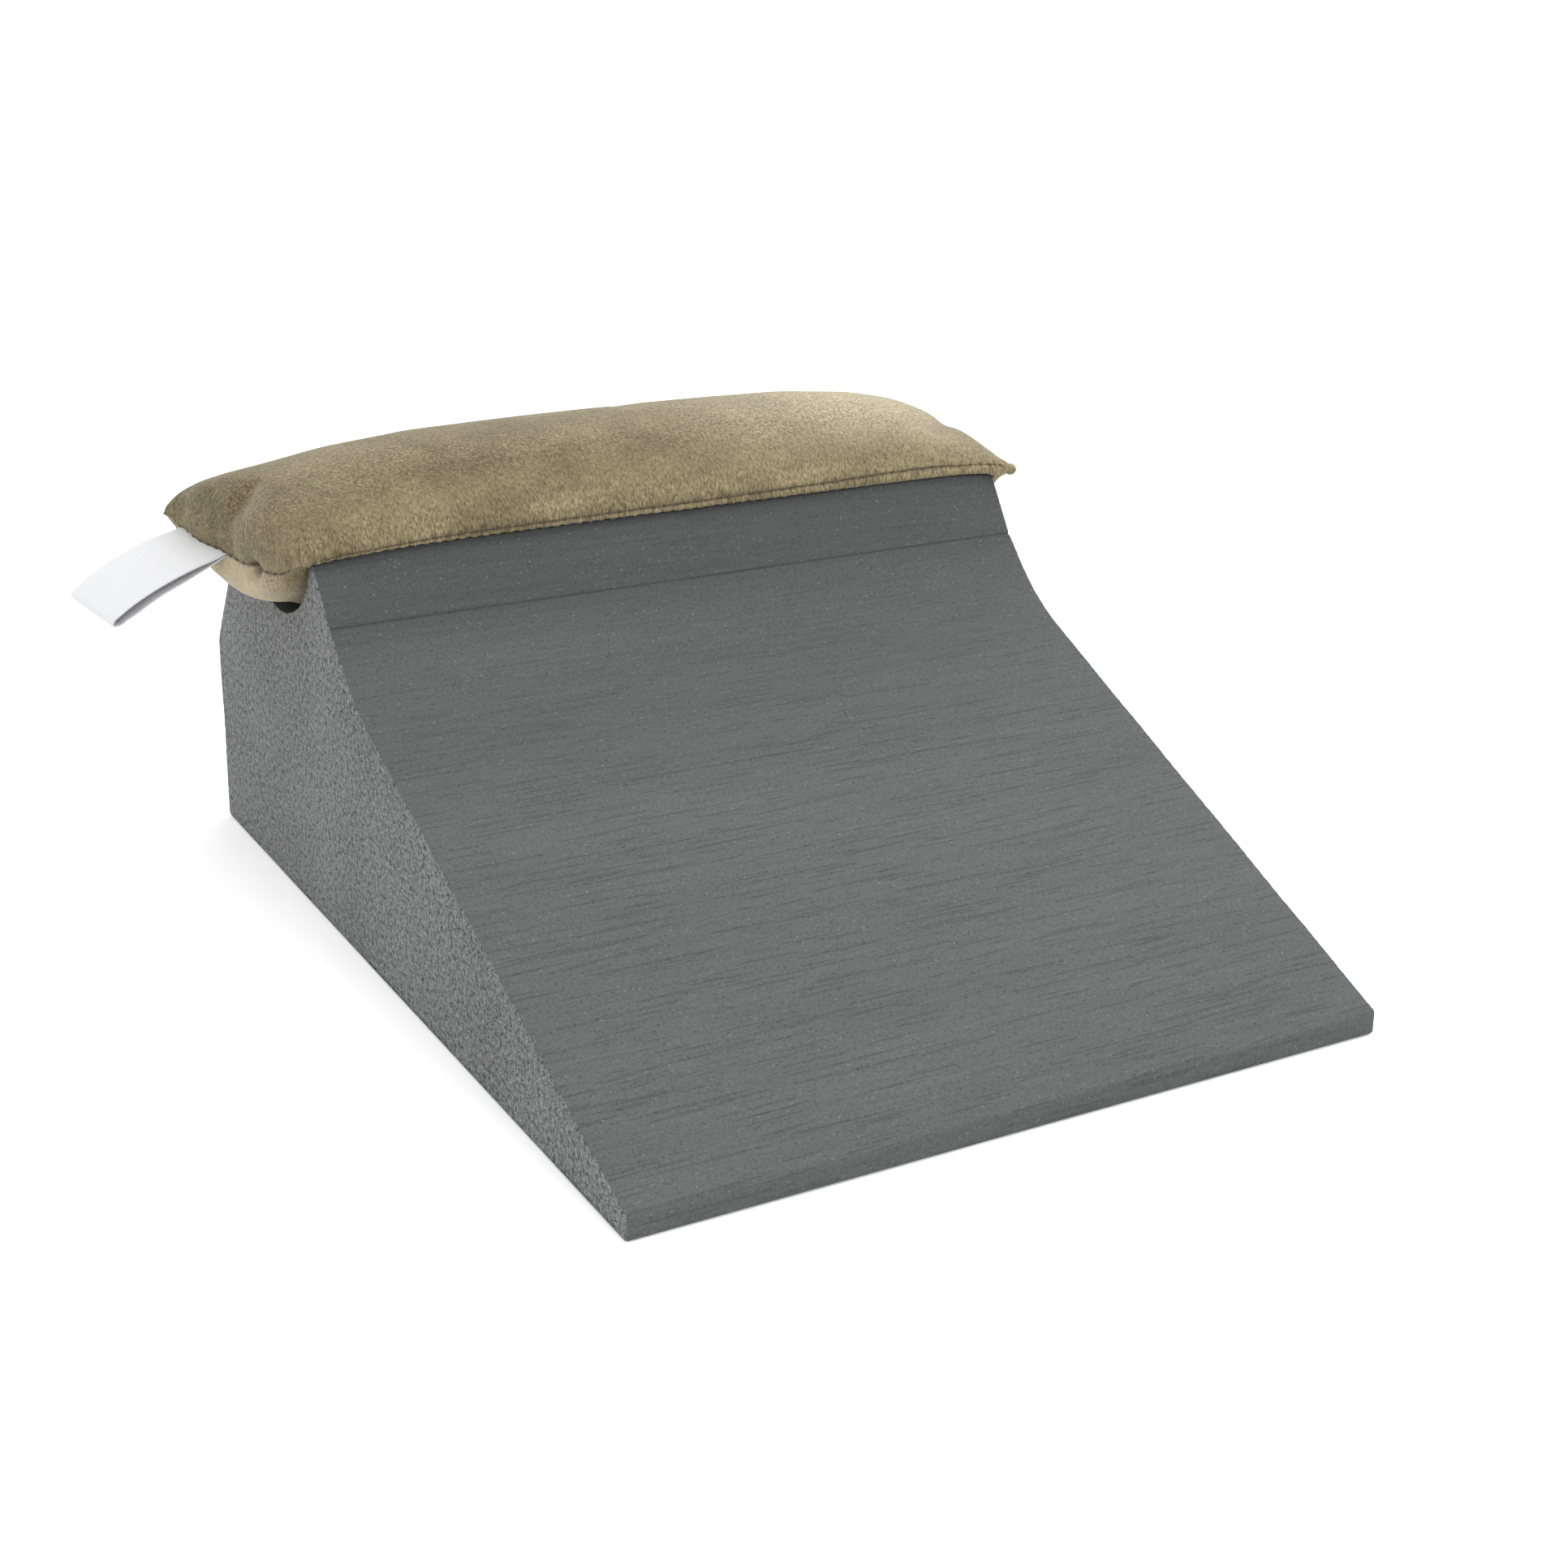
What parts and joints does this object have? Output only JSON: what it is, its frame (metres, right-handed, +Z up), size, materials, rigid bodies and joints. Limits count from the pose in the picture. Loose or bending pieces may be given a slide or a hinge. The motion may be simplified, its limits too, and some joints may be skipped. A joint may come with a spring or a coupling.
{
  "type": "foam incline wedge with bolster cushion",
  "caption": "Small foam incline wedge with a concave ramp and a round cradle along its top edge, holding a loose plush bolster cushion with a sewn-in woven tab.",
  "frame": {"origin": "centre of the foam wedge's flat base", "axes": "+Z up, normal to the base; +X along the cradle and the bolster, away from the woven tab; the ramp falls towards -Y"},
  "size_m": [0.2697, 0.254, 0.1191],
  "materials": {
    "foam": "matte",
    "plush_top": "matte",
    "plush_bottom": "matte",
    "filling": "matte",
    "thread": "satin",
    "tape": "satin"
  },
  "bodies": {
    "wedge": {"foam_wedge": "foam"},
    "bolster": {"cover_top_panel": "plush_top", "cover_bottom_panel": "plush_bottom", "filling": "filling", "seam_thread": "thread"},
    "tab": {"woven_tab": "tape"}
  },
  "joints": [
    {"name": "bolster_lift", "type": "slide", "parent": "wedge", "child": "bolster", "axis": [0, 0, 1], "range_m": [0, 0.12]},
    {"name": "tab_flap", "type": "hinge", "parent": "bolster", "child": "tab", "pos_m": [-0.11744, 0.08606, 0.09292], "axis": [-0.2213, 0.968, 0.1185], "range_deg": [-60, 60], "stiffness_Nm_per_rad": 0.003}
  ]
}
